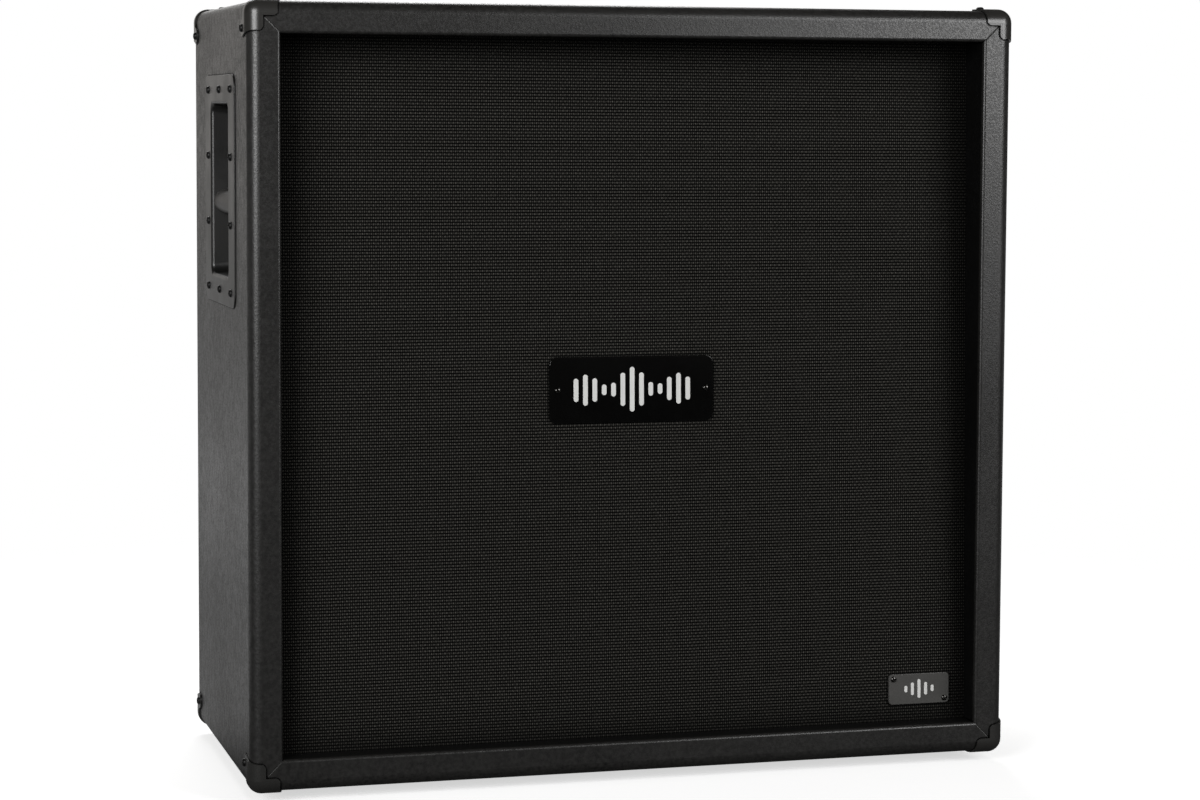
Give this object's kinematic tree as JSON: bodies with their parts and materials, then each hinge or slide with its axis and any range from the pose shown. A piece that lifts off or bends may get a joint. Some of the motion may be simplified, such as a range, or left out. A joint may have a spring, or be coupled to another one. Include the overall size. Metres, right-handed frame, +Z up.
{
  "type": "guitar speaker cabinet",
  "caption": "Closed, vinyl-covered guitar loudspeaker cabinet with a recessed grille cloth, moulded corner protectors, recessed side handles and moving speaker cones.",
  "frame": {"origin": "centre of the footprint at the level the rubber feet stand on", "axes": "+Z up, the grille faces -Y, +X to the right of someone who looks at the grille"},
  "size_m": [0.7786, 0.3598, 0.7663],
  "materials": {
    "plywood": "birch plywood, sawn and sanded",
    "softwood": "planed softwood",
    "baffle_ply": "plywood painted flat black",
    "back_board": "board painted flat black",
    "vinyl": "black vinyl with a fine pebbled grain, satin",
    "grille_cloth": "black plain woven cloth",
    "black_steel": "black oxide, satin",
    "gloss_badge": "polished black",
    "satin_badge": "satin dark grey",
    "corner_plastic": "moulded, smooth satin",
    "handle_steel": "pressed steel, black satin paint",
    "grip_plastic": "moulded, satin",
    "foot_rubber": "moulded, matt",
    "jack_plate_steel": "pressed steel, black satin paint",
    "jack_body": "moulded, matt",
    "jack_nut": "nickel plate",
    "lead_sleeve": "black lead sleeve",
    "clip_plastic": "moulded, matt",
    "gasket": "pressed gasket board",
    "motor_steel": "zinc passivated, satin",
    "ferrite": "sintered, matt",
    "terminal_board": "pressed board",
    "cone_paper": "pressed paper pulp",
    "cap_paper": "pressed paper pulp",
    "coil": "copper wire on a former",
    "surround_cloth": "doped cloth, matt",
    "spider_cloth": "resin-dipped cloth",
    "basket_steel": "pressed steel, satin paint"
  },
  "bodies": {
    "cabinet": {"top_panel": "plywood", "bottom_panel": "plywood", "left_side_panel": "plywood", "right_side_panel": "plywood", "front_rails": "plywood", "baffle_battens": "softwood", "rear_battens": "softwood", "centre_brace": "softwood", "baffle_board": "baffle_ply", "back_panel": "back_board", "vinyl_covering": "vinyl", "grille_cloth": "grille_cloth", "speaker_bolts": "black_steel", "badge_screws": "black_steel", "case_screws": "black_steel", "board_screws": "black_steel", "main_badge": "gloss_badge", "corner_badge": "satin_badge", "corner_protectors": "corner_plastic", "left_handle_dish": "handle_steel", "right_handle_dish": "handle_steel", "left_handle_grip": "grip_plastic", "right_handle_grip": "grip_plastic", "rubber_feet": "foot_rubber", "jack_plate": "jack_plate_steel", "input_jack": "jack_body", "parallel_jack": "jack_body", "jack_nuts": "jack_nut", "speaker_leads": "lead_sleeve", "lead_clips": "clip_plastic", "speaker_gaskets": "gasket", "speaker_front_plates": "motor_steel", "speaker_yokes": "motor_steel", "speaker_magnets": "ferrite", "speaker_terminals": "terminal_board", "upper_left_surround": "surround_cloth", "upper_left_spider": "spider_cloth", "upper_left_basket": "basket_steel", "upper_right_surround": "surround_cloth", "upper_right_spider": "spider_cloth", "upper_right_basket": "basket_steel", "lower_left_surround": "surround_cloth", "lower_left_spider": "spider_cloth", "lower_left_basket": "basket_steel", "lower_right_surround": "surround_cloth", "lower_right_spider": "spider_cloth", "lower_right_basket": "basket_steel"},
    "upper_left_diaphragm": {"upper_left_cone": "cone_paper", "upper_left_dust_cap": "cap_paper", "upper_left_voice_coil": "coil"},
    "upper_right_diaphragm": {"upper_right_cone": "cone_paper", "upper_right_dust_cap": "cap_paper", "upper_right_voice_coil": "coil"},
    "lower_left_diaphragm": {"lower_left_cone": "cone_paper", "lower_left_dust_cap": "cap_paper", "lower_left_voice_coil": "coil"},
    "lower_right_diaphragm": {"lower_right_cone": "cone_paper", "lower_right_dust_cap": "cap_paper", "lower_right_voice_coil": "coil"}
  },
  "joints": [
    {"name": "upper_left_cone_travel", "type": "slide", "parent": "cabinet", "child": "upper_left_diaphragm", "axis": [0, 0.9996, -0.0276], "range_m": [-0.004, 0.004], "stiffness_N_per_m": 7000, "deforming": ["upper_left_surround", "upper_left_spider"]},
    {"name": "upper_right_cone_travel", "type": "slide", "parent": "cabinet", "child": "upper_right_diaphragm", "axis": [0, 0.9996, -0.0276], "range_m": [-0.004, 0.004], "stiffness_N_per_m": 7000, "deforming": ["upper_right_surround", "upper_right_spider"]},
    {"name": "lower_left_cone_travel", "type": "slide", "parent": "cabinet", "child": "lower_left_diaphragm", "axis": [0, 0.9996, -0.0276], "range_m": [-0.004, 0.004], "stiffness_N_per_m": 7000, "deforming": ["lower_left_surround", "lower_left_spider"]},
    {"name": "lower_right_cone_travel", "type": "slide", "parent": "cabinet", "child": "lower_right_diaphragm", "axis": [0, 0.9996, -0.0276], "range_m": [-0.004, 0.004], "stiffness_N_per_m": 7000, "deforming": ["lower_right_surround", "lower_right_spider"]}
  ]
}
